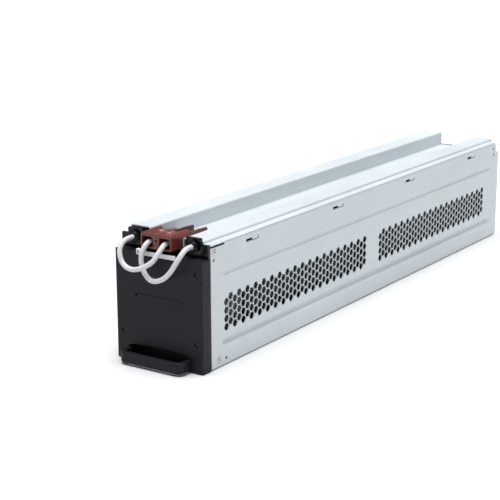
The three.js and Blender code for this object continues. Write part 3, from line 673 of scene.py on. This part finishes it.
def make_tray():
    heights = [9.0]
    for middle, half, _ in BEADS:
        heights += [middle + half * k / 5 for k in range(-5, 6)]
    heights.append(104.0)
    right = [(HALF, z) for z in [WALL_TOP, *reversed(heights)]]
    left = [(-HALF, z) for z in [*heights, WALL_TOP]]
    bm = sheet([*right, (HALF, 0), (-HALF, 0), *left], tray_stations(), inner_radius=1.4)
    for vertex in bm.verts:
        if abs(vertex.co.x) > HALF - 1.5 * SHEET:
            inward = bead_depth(vertex.co.y, vertex.co.z)
            vertex.co.x -= math.copysign(inward, vertex.co.x)
    tray = object_from("tray_shell", bm, GALVANISED)
    rear = object_from("rear_wall", block((-HALF + 0.9, HALF - 0.9), (TRAY_REAR - SHEET, TRAY_REAR - 0.01),
                                          (0.6, 115.0)))
    boolean(tray, [rear], "UNION")
    tools = [object_from("cutter", cutter) for cutter in [hex_prisms(), *side_cutters()]]
    screw_holes = [prism(circle(1.9, x, z, 16), "Y", TRAY_REAR - 4, TRAY_REAR + 2)
                   for x, z in CAP_SCREWS]
    tools += [object_from("screw_hole", bm) for bm in screw_holes]
    boolean(tray, tools, "DIFFERENCE")
    settle(tray, "base", ["base_tray"])


make_tray()


# ---- cover -------------------------------------------------------------------------------------
def rear_corner_cutter(x, rear, top, radius):
    """What lies outside a rear end whose upper corner is rounded."""
    arc = [(rear - radius + radius * math.sin(t), top - radius + radius * math.cos(t))
           for t in (math.pi / 2 * k / 8 for k in range(9))]
    outline = [*arc, (rear + 20, top - radius), (rear + 20, top + 5), (rear - radius, top + 5)]
    return object_from("corner", prism(outline, "X", *x))


def make_cover():
    upper = [
        (-HALF, STRIP_TOP), (-STRIP_INNER, STRIP_TOP), (-STRIP_INNER, RIDGE_TOP),
        (-CHANNEL_HALF, RIDGE_TOP),
        (-CHANNEL_HALF, CHANNEL_TOP), (CHANNEL_HALF, CHANNEL_TOP), (CHANNEL_HALF, PLATEAU_TOP),
        (STRIP_INNER, PLATEAU_TOP), (STRIP_INNER, STRIP_TOP), (HALF, STRIP_TOP),
    ]
    cover = object_from("cover_shell", sheet(upper, [COVER_FRONT, COVER_REAR]), GALVANISED)
    web = [(-STRIP_INNER + 0.4, 115.8), (-CHANNEL_HALF - 0.4, 115.8),
           (-CHANNEL_HALF - 0.4, RIDGE_TOP - 0.5), (-STRIP_INNER + 0.4, RIDGE_TOP - 0.5)]
    joined = [object_from("web", prism(web, "Y", RIDGE_REAR - 4 - SHEET, RIDGE_REAR - 4))]
    for side in (-1, 1):
        x = sorted((side * 49.3, side * 50.5))
        joined.append(object_from("skirt", block(x, (40, 630), (110, STRIP_TOP - 0.6))))
    boolean(cover, joined, "UNION")
    behind = (RIDGE_REAR, COVER_REAR + 5)
    cuts = [
        object_from("behind_ridge",
                    block((-HALF - 2, CHANNEL_HALF - 0.2), behind, (STRIP_TOP + 0.02, 140))),
        object_from("behind_web", block((-STRIP_INNER - 0.01, CHANNEL_HALF - 0.2), behind, (100, 140))),
        rear_corner_cutter((-STRIP_INNER - 3, -CHANNEL_HALF + 3), RIDGE_REAR, RIDGE_TOP, 2.6),
        rear_corner_cutter((CHANNEL_HALF - 3, STRIP_INNER + 1.3), COVER_REAR, PLATEAU_TOP, 2.6),
    ]
    for side in (-1, 1):
        strip = sorted((side * (STRIP_INNER + 0.02), side * (HALF + 2)))
        behind_strip = block(strip, (STRIP_REAR, COVER_REAR + 5), (100, STRIP_TOP + 2))
        cuts.append(object_from("behind_strip", behind_strip))
        through = sorted((side * 48, side * 50.9))
        for i in range(HOOK["count"]):
            hook = HOOK["first"] + i * HOOK["pitch"] + HOOK["window"]
            cuts.append(object_from("notch", block(through, (hook - 12.5, hook + 12.5), (115.3, 118.5))))
    boolean(cover, cuts, "DIFFERENCE")
    clean_flats(cover)
    bevel(cover, 0.18, 2, angle=50)
    settle(cover, "cover", ["top_cover"])


make_cover()


# ---- front panel and pull handle ---------------------------------------------------------------
def capsule(half, z, radius, steps=6):
    """A long round-ended outline, level, about the middle."""
    right = [(half + radius * math.cos(t), z + radius * math.sin(t))
             for t in (-math.pi / 2 + math.pi * k / steps for k in range(steps + 1))]
    return [*right, *((-x, 2 * z - h) for x, h in right)]


def pocket_outline(grow):
    half = 37.5 + grow
    arch = [(half * math.cos(t), 14.5 + (3.5 + grow) * math.sin(t))
            for t in (math.pi * k / 20 for k in range(21))]
    return [(-half, 2.6 - grow), (half, 2.6 - grow), *arch]


def make_panel():
    wall = 2.4
    panel = object_from("panel_shell", block((-HALF, HALF), (0, PANEL_DEPTH), (0, PANEL_TOP), 0.9, 3),
                        PANEL)
    hollow = block((-HALF + wall, HALF - wall), (wall, PANEL_DEPTH + 2), (1.2, PANEL_TOP - wall))
    boolean(panel, [object_from("hollow", hollow)], "DIFFERENCE")
    pocket_wall = object_from("pocket_wall", prism(pocket_outline(1.4), "Y", 0.8, 15))
    bead = object_from("bead", prism(capsule(BEAD["half"], BEAD["z"], BEAD["radius"]), "Y", -BEAD_PROUD, 1))
    bevel(bead, 0.75, 4, angle=40)
    bosses = [object_from("boss", turned([(1, 3.5), (15.7, 3.5)], "Y", spot)) for spot in PANEL_SCREWS]
    boolean(panel, [pocket_wall, bead, *bosses], "UNION")
    cuts = [
        prism(pocket_outline(0), "Y", -1, 13.6),
        loft([[(x * s, y, 2.6 + (z - 2.6) * s + low) for x, z in pocket_outline(0)]
              for s, y, low in ((1.022, -1, -0.3), (1.0, 1.3, 0))]),
        prism(circle(1.3, -BEAD["half"], BEAD["z"], 16), "Y", -2, 1.8),
        prism(circle(0.8, 51.2, 16.8, 12), "Y", -1, 0.9),
        prism(circle(0.8, 51.2, 91.0, 12), "Y", -1, 0.9),
    ]
    for x, z in PANEL_SCREWS:
        cuts.append(prism(circle(1.6, x, z, 16), "Y", -1, 17))
        cuts.append(turned([(-1, 3.2), (0, 2.5), (0.3, 2.3), (1.8, 2.3)], "Y", (x, z)))
    for x in (-19.5, 21):
        cuts.append(block((x - 1, x + 1), (-1, 6.5), (PANEL_TOP - 2.9, PANEL_TOP + 1)))
    boolean(panel, [object_from("cut", bm) for bm in cuts], "DIFFERENCE")
    settle(panel, "base", ["front_panel"], smooth_angle=40)


def make_handle():
    half, reach, low, high = 38.0, 17.0, 2.2, 13.4
    bar, arm = 4.5, 4.5
    outer = [(-half, -0.3), (-half, -reach), (half, -reach), (half, -0.3)]
    inner = [(half - arm, -0.3), (half - arm, -reach + bar), (-half + arm, -reach + bar),
             (-half + arm, -0.3)]
    outline = rounded([*outer, *inner], [0, 7, 7, 0, 0, 4.5, 4.5, 0], 8)
    handle = object_from("handle_grip", prism(outline, "Z", low, high), PANEL)
    bevel(handle, 0.9, 4, angle=50)
    slot_cut = block((27, 33.5), (-reach - 1, -reach + 0.5), (high - 2.3, high - 1.7))
    lightening = block((-30, 30), (-reach + 1.5, -reach + bar - 1.3), (low - 1, high - 4))
    boolean(handle, [object_from("slot", slot_cut), object_from("lightening", lightening)], "DIFFERENCE")
    settle(handle, "base", ["pull_handle"], smooth_angle=30)


make_panel()
make_handle()


# ---- connector bracket, glands and cable tie ---------------------------------------------------
def make_bracket():
    front, rear, base = 10.8, 12.8, PANEL_TOP + 0.3
    half = [(20, base), (51.5, base), (51.5, 125.5), (43.8, 125.5), (43.8, 131.2), (26, 131.2),
            (26, base + 3), (20, base + 3)]
    outline = rounded(half, [0, 0.6, 1.0, 0.6, 1.0, 1.0, 1.0, 0], 4)
    plate = object_from("bracket_plate", prism(outline, "Y", front, rear), NYLON)
    joined = [
        prism([(-x, z) for x, z in outline], "Y", front, rear),
        block((-21, 21), (front, rear), (base, base + 3)),
        block((-17, 17), (7.5, 14), (base, 116.8), 0.5),
    ]
    for side in (-1, 1):
        joined.append(block(sorted((side * 49.5, side * 51.5)), (front + 0.1, 14), (base, 125.5), 0.4))
        for x in (27.8, 42.6):
            joined.append(block((side * x - 0.6, side * x + 0.6), (rear - 0.5, 14), (base, 129.5), 0.3))
    boolean(plate, [object_from("join", bm) for bm in joined], "UNION")
    holes = [prism(circle(5.5, side * GLAND_X, GLAND_Z, 32), "Y", 8, 14) for side in (-1, 1)]
    boolean(plate, [object_from("hole", bm) for bm in holes], "DIFFERENCE")
    clean_flats(plate)
    bevel(plate, 0.3, 2, angle=40)
    settle(plate, "base", ["connector_bracket"])


def hex_nut(name, x, front, rear, node):
    """A hexagonal nut with turned-down corners and a ring on its face, bored through."""
    hexagon = circle(NUT_FLATS / math.sqrt(3), x, GLAND_Z, 6, math.pi / 2)
    nut = object_from(name, prism(hexagon, "Y", front, rear), NYLON)
    turned_down = object_from("cone", turned(
        [(front - 0.01, 6.0), (front + 0.6, 7.1), (rear - 0.6, 7.1), (rear + 0.01, 6.0)],
        "Y", (x, GLAND_Z), 40))
    boolean(nut, [turned_down], "INTERSECT")
    bore = object_from("bore", turned([(front - 1, 5.5), (rear + 1, 5.5)], "Y", (x, GLAND_Z), 32))
    boolean(nut, [bore], "DIFFERENCE")
    clean_flats(nut)
    bevel(nut, 0.22, 2, angle=25)
    settle(nut, "base", [node])


def make_gland(side, name):
    x = side * GLAND_X
    profile = [(7.2, 3.5), (7.1, 4.0), (7.2, 4.5), (7.6, 4.9), (8.2, 5.15)]
    for thread in range(3):
        y = 11 + thread
        profile += [(y, 4.85), (y + 0.3, 5.2), (y + 0.5, 5.2), (y + 0.8, 4.85)]
    profile += [(14.4, 4.7)]
    body = object_from(f"gland_{name}", turned(profile, "Y", (x, GLAND_Z), 40), NYLON)
    bore = turned([(6.5, 3.1), (7.6, 2.8), (16, 2.8)], "Y", (x, GLAND_Z), 32)
    boolean(body, [object_from("bore", bore)], "DIFFERENCE")
    settle(body, "base", [f"gland_body_{name}"], smooth_angle=40)
    hex_nut(f"nut_{name}", x, 7.9, 10.5, f"gland_nut_{name}")
    hex_nut(f"locknut_{name}", x, 13.1, 14.5, f"gland_locknut_{name}")


def make_tie():
    left, right, low, high = -20.1, 21.5, 109.0, 113.4
    run = object_from("tie_strap", block((left, right), (-1.6, -0.4), (low, high), 0.3), NATURAL)
    joined = [
        block((left, left + 1.2), (-1.6, 5.4), (low + 0.1, 111.3), 0.2),
        block((right - 1.2, right), (-1.6, 5.4), (low + 0.1, 111.3), 0.2),
        block((-22.7, -17.3), (-4.4, -0.4), (109.6, 115.4), 0.8, 3),
    ]
    boolean(run, [object_from("join", bm) for bm in joined], "UNION")
    cuts = [block((-21.4, -18.6), (-5, -2.6), (111.0, 114.0), 0.2)]
    for k in range(29):
        x = -16 + k * 1.2
        cuts.append(block((x, x + 0.45), (-1.75, -1.42), (low + 0.9, high - 0.9)))
    boolean(run, [object_from("cut", bm) for bm in cuts], "DIFFERENCE")
    settle(run, "base", ["cable_tie"], smooth_angle=40)


make_bracket()
for gland_side, gland_name in ((-1, "left"), (1, "right")):
    make_gland(gland_side, gland_name)
make_tie()


# ---- power connector ---------------------------------------------------------------------------
PLUG = {"half": 18.4, "bottom": 117.1, "deck": 129.3, "front": -2.0, "rear": 30.0, "length": 56.0}
POLE_X, POLE_Z = 9.5, 123.5
# Raised shapes on the deck: their middle line in X and Y, half width and height
GRIP_RIBS = (
    (((-11.2, 1.0), (-12.4, 8.0), (-12.4, 14.0), (-9.8, 19.5), (-4.0, 21.6), (2.0, 22.0)), 1.7, 2.2),
    (((-0.6, 1.0), (-0.8, 8.0), (0.4, 13.5), (3.2, 17.6)), 1.7, 2.0),
    (((15.4, -1.0), (14.4, 8.0), (13.4, 17.0), (14.0, 24.0), (15.2, 30.0)), 3.2, 3.4),
    (((-17.2, -2.0), (-17.2, 30.0)), 2.2, 2.8),
    (((-18.4, -1.6), (18.4, -1.6)), 1.9, 2.6),
)


def distance_to(points, x, y):
    """Distance from a point to a line of straight stretches."""
    here = Vector((x, y))
    nearest = 1e9
    for a, b in zip(points, points[1:]):
        a, b = Vector(a), Vector(b)
        t = max(0.0, min(1.0, (here - a).dot(b - a) / (b - a).length_squared))
        nearest = min(nearest, (here - a.lerp(b, t)).length)
    return nearest


def smooth_ribs():
    """The ribs of the deck, their middle lines rounded at each point."""
    for line, half_width, height in GRIP_RIBS:
        route = smooth_route([(x, y, 0) for x, y in line], 5)
        yield [(p.x, p.y) for p in route], half_width, height


DECK_RIBS = list(smooth_ribs())


def deck_height(x, y):
    """The housing's upper surface: its deck, with the finger ribs and rims raised from it."""
    rise = 0.0
    for line, half_width, height in DECK_RIBS:
        rise = max(rise, height * math.exp(-(distance_to(line, x, y) / half_width) ** 2))
    edge = PLUG["half"] - abs(x)
    rounding = 1.6 * (1 - min(1.0, edge / 1.6)) ** 2
    front = 0.4 * (1 - min(1.0, (y - PLUG["front"]) / 0.8)) ** 2
    rear_fall = 1.4 * max(0.0, (y - 27.0) / 3.0) ** 2
    return min(PLUG["deck"] + rise, RIDGE_TOP - 0.1) - rounding - front - rear_fall


def housing_block():
    """The front part of the housing, as rings of its section from front to rear."""
    half, bottom = PLUG["half"], PLUG["bottom"]
    across = [half * (1 - 2 * k / 80) for k in range(81)]
    rings = []
    for k in range(73):
        y = PLUG["front"] + (PLUG["rear"] - PLUG["front"]) * k / 72
        ring = [(-half + 0.8, y, bottom), (half - 0.8, y, bottom), (half - 0.25, y, bottom + 0.25),
                (half, y, bottom + 0.8)]
        ring += [(x, y, deck_height(x, y)) for x in across]
        ring += [(-half, y, bottom + 0.8), (-half + 0.25, y, bottom + 0.25)]
        rings.append(ring)
    return loft(rings)


def make_housing():
    half, bottom, length = PLUG["half"], PLUG["bottom"], PLUG["length"]
    housing = object_from("connector_shell", housing_block(), CONNECTOR)
    mating = (28.5, length)

    def fence(x, top):
        """A wall of the mating side, stepped down and tapered towards its tip."""
        outline = rounded([(mating[0], bottom + 0.5), (length, bottom + 0.5), (length, top - 0.6),
                           (44, top), (mating[0], top)], [0, 0, 0.9, 6, 0], 4)
        return prism(outline, "X", *x)

    joined = [
        block((-half, half), mating, (bottom, bottom + 1.8), 0.4),
        fence((-half, -half + 1.8), bottom + 7),
        fence((0.4, 2.2), 130.3),
        fence((half - 1.8, half), 130.3),
    ]
    boolean(housing, [object_from("join", bm) for bm in joined], "UNION")
    front = PLUG["front"]
    cuts = [prism(circle(1.2, 0, 125.2, 20), "Y", front - 1, 6)]
    for side in (-1, 1):
        mouth = [(side * 3.8, 118.7), (side * 16.4, 118.7), (side * 16.4, 128.6), (side * 3.8, 128.6)]
        mouth = mouth if side > 0 else mouth[::-1]
        cuts.append(prism(rounded(mouth, 0.9, 4), "Y", front - 1, 12))
        flare = [(a + (0.4 if a > side * 10 else -0.4), b + (0.4 if b > 123 else -0.4)) for a, b in mouth]
        cuts.append(loft([[(a, front - 0.6, b) for a, b in rounded(flare, 1.2, 4)],
                          [(a, front + 0.5, b) for a, b in rounded(mouth, 0.9, 4)]]))
        cuts.append(block((side * POLE_X - 3.6, side * POLE_X + 3.6), (11, 31), (119.5, 127.6)))
        seam = sorted((side * 18.55, side * 18.15))
        cuts.append(block(seam, (3, 29), (123.6, 124.0)))
    boolean(housing, [object_from("cut", bm) for bm in cuts], "DIFFERENCE")
    settle(housing, "connector", ["connector_housing"], smooth_angle=58)


def make_contact(side, name):
    """Silver-plated contact: a crimped barrel, a neck and a blade with a hooked tip."""
    x, z = side * POLE_X, POLE_Z
    profile = [(5.4, 2.6), (5.6, 2.7), (9.0, 2.7), (9.6, 2.35), (11.4, 2.35), (12.0, 2.7), (16.0, 2.6)]
    barrel = turned(profile, "Y", (x, z), 28)
    contact = object_from(f"blade_{name}", barrel, SILVERED)
    low = z - 2.2
    side_line = [(15, low), (38, low), (41.5, low - 0.35), (44, low + 0.1), (44, low + 1.0),
                 (41.4, low + 1.25), (38, low + 1.6), (15, low + 1.6)]
    blade = object_from("blade", prism(side_line, "X", x - 2.4, x + 2.4))
    boolean(contact, [blade], "UNION")
    bevel(contact, 0.15, 2, angle=40)
    settle(contact, "connector", [f"contact_{name}"])


def make_spring(side, name):
    """The leaf spring under a contact's blade."""
    x, low = side * POLE_X, POLE_Z - 3.7
    line = [(13, low), (24, low), (29, low + 0.12), (33.9, low + 0.6), (33.9, low + 0.85),
            (28.9, low + 0.38), (24, low + 0.3), (13, low + 0.3)]
    spring = object_from(f"leaf_{name}", prism(line, "X", x - 2, x + 2), STAINLESS)
    bevel(spring, 0.06, 2, angle=40)
    settle(spring, "connector", [f"contact_spring_{name}"])


make_housing()
for pole_side, pole_name in ((-1, "left"), (1, "right")):
    make_contact(pole_side, pole_name)
    make_spring(pole_side, pole_name)


# ---- fasteners ---------------------------------------------------------------------------------
def make_screw(name, x, z, front, radius, height, node, facing):
    """A pan-head screw along Y with a cross recess; facing is the side its head looks to."""
    base = front - facing * height
    profile = [(base, radius), (front - facing * height * 0.45, radius),
               (front - facing * height * 0.12, radius * 0.8), (front, radius * 0.45)]
    shank = node_box(node)[1]
    far = shank[1] if facing < 0 else shank[0]
    profile = [(far, radius * 0.5), (far - facing * -0.6, radius * 0.68), (base, radius * 0.68), *profile]
    screw = object_from(name, turned(profile, "Y", (x, z), 28), BLACK_ZINC)
    arm, half_width = radius * 0.6, radius * 0.16
    depth = sorted((front + facing, front - facing * height * 0.6))
    cross = [
        block((x - arm, x + arm), depth, (z - half_width, z + half_width)),
        block((x - half_width, x + half_width), depth, (z - arm, z + arm)),
    ]
    boolean(screw, [object_from("cross", bm) for bm in cross], "DIFFERENCE")
    settle(screw, "base", [node])


def make_rivet(name, side, y, z, node):
    """A blind rivet: domed head outside, its hollow middle, and a crushed tail inside."""
    tail, head = 47.4, HALF + 0.3
    profile = [(tail, 1.9), (tail + 0.5, 2.6), (tail + 1.3, 2.2), (49.2, 1.5), (head, 1.5), (head, 2.9),
               (head + 0.2, 3.0), (head + 0.45, 2.6), (head + 0.6, 1.5)]
    rivet = object_from(name, turned([(side * a, r) for a, r in profile], "X", (y, z), 32), STAINLESS)
    dimple = turned([(side * (head - 2), 0.8), (side * (head + 1), 0.95)], "X", (y, z), 20)
    boolean(rivet, [object_from("dimple", dimple)], "DIFFERENCE")
    settle(rivet, "base", [node])


def make_fasteners():
    for i in range(1, 5):
        for end, name, facing, height in (("front", "panel", -1, 0.9), ("rear", "cap", 1, 1.4)):
            node = f"{end}_screw_{i}"
            (x0, x1), y, (z0, z1) = node_box(node)
            face = y[0] if facing < 0 else y[1]
            make_screw(f"{name}_screw_{i}", (x0 + x1) / 2, (z0 + z1) / 2, face, (x1 - x0) / 2, height,
                       node, facing)
    for side, side_name in ((-1, "left"), (1, "right")):
        for (y, z), level in zip(RIVETS, ("upper", "lower")):
            name = f"{side_name}_{level}"
            make_rivet(f"rivet_{name}", side, y, z, f"side_rivet_{name}")


make_fasteners()


# ---- rear cap ----------------------------------------------------------------------------------
def make_rear_cap():
    (x0, x1), (y0, y1), (z0, z1) = node_box("rear_cap")
    cap = object_from("cap_shell", block((x0, x1), (y0, y1), (z0, z1), 1.3, 4), GALVANISED)
    inside = block((x0 + SHEET, x1 - SHEET), (y0 - 2, y1 - SHEET), (z0 + SHEET, z1 - SHEET))
    hollow = object_from("hollow", inside)
    boolean(cap, [hollow], "DIFFERENCE")
    feet = [object_from("foot", prism(circle(5, x, z, 28), "Y", y0, y1 - 0.5)) for x, z in CAP_SCREWS]
    rib = object_from("rib", block((-24, 24), (y0, y1 - 0.6), (78.2, 79.8)))
    boolean(cap, [*feet, rib], "UNION")
    holes = [prism(circle(1.9, x, z, 24), "Y", y0 - 1, y1 + 1) for x, z in CAP_SCREWS]
    pressed = loft([[(a, y, b) for a, b in capsule(half, 79, radius, 8)]
                    for y, half, radius in ((y1 + 0.5, 27.0, 5.0), (y1 - 0.7, 26.2, 4.0))])
    boolean(cap, [object_from("cut", bm) for bm in [*holes, pressed]], "DIFFERENCE")
    settle(cap, "base", ["rear_cap"], smooth_angle=40)


make_rear_cap()


# ---- sealed blocks -----------------------------------------------------------------------------
def make_block(i):
    """A sealed block: its case, the lid's seam, a vent cover and the two push-on tabs."""
    (x0, x1), (y0, y1), (z0, z1) = node_box(f"battery_{i}")
    top = z1 - 6.5
    seam = top - 14
    lower = block((x0 + 0.8, x1 - 0.8), (y0 + 0.8, y1 - 0.8), (z0, seam + 1), 1.6, 3)
    case = object_from(f"block_{i}", lower, BLOCK_CASE)
    tab_y = (y0 + y1) / 2 + (24 if i % 2 else -24)
    parts = [
        block((x0, x1), (y0, y1), (seam, top - 2.5), 1.4, 3),
        block((x0 + 4, x1 - 4), (y0 + 4, y1 - 4), (top - 3.2, top), 0.8, 2),
    ]
    for x in (-36, 36):
        tab = rounded([(tab_y - 3.17, top - 2), (tab_y + 3.17, top - 2), (tab_y + 3.17, z1),
                       (tab_y - 3.17, z1)], [0, 0, 1.2, 1.2], 3)
        parts.append(prism(tab, "X", x - 0.4, x + 0.4))
    boolean(case, [object_from("part", bm) for bm in parts], "UNION")
    cuts = [prism(circle(1.0, tab_y, z1 - 3.0, 12), "X", -40, 40)]
    for k in range(6):
        vent_x = -25 + k * 10
        vent_y = (y0 + y1) / 2 - 5
        cuts.append(block((vent_x - 3.4, vent_x + 3.4), (vent_y, vent_y + 0.8), (top - 0.8, top + 1)))
    boolean(case, [object_from("cut", bm) for bm in cuts], "DIFFERENCE")
    settle(case, "base", [f"battery_{i}"], smooth_angle=40)


for number in range(1, 9):
    make_block(number)


# ---- CAD parts that keep their shape -----------------------------------------------------------
KEPT = {
    GALVANISED: ("front_bulkhead",),
    NYLON: ("string_fuse",),
    RED_WIRE: ("jumper_2", "jumper_6", "fuse_lead_front", "fuse_lead_rear", "positive_lead"),
    BLACK_WIRE: ("jumper_1", "jumper_3", "jumper_5", "jumper_7", "negative_lead"),
    FOAM: ("rear_pad", "front_spacer", "side_pad_left", "side_pad_right"),
    FILM: ("floor_liner", "cover_insulator"),
}
for material, nodes in KEPT.items():
    for node in nodes:
        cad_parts[node].material_slots[0].material = material


# ---- studio ------------------------------------------------------------------------------------
def make_floor():
    bm = bmesh.new()
    size = 8.0
    corners = [bm.verts.new((x * size, y * size, 0)) for x, y in ((-1, -1), (1, -1), (1, 1), (-1, 1))]
    bm.faces.new(corners)
    mesh = bpy.data.meshes.new("floor")
    bm.to_mesh(mesh)
    bm.free()
    n = Nodes("floor")
    n.set(Base_Color=(0.64, 0.64, 0.645), Roughness=0.8)
    mesh.materials.append(n.material)
    floor = bpy.data.objects.new("floor", mesh)
    floor.location.z = -0.0002
    bpy.context.scene.collection.objects.link(floor)


def make_studio():
    world = bpy.data.worlds.new("studio")
    bpy.context.scene.world = world
    world.use_nodes = True
    background = world.node_tree.nodes["Background"]
    background.inputs["Color"].default_value = (0.95, 0.97, 1.0, 1.0)
    background.inputs["Strength"].default_value = 0.46
    data = bpy.data.lights.new("softbox", "SUN")
    data.energy = 4.6
    data.angle = math.radians(50)
    sun = bpy.data.objects.new("softbox", data)
    sun.rotation_euler = Vector((-0.05, 0.05, -1.0)).to_track_quat("-Z", "Y").to_euler()
    bpy.context.scene.collection.objects.link(sun)
    bpy.context.scene.view_settings.view_transform = "Standard"


make_floor()
make_studio()
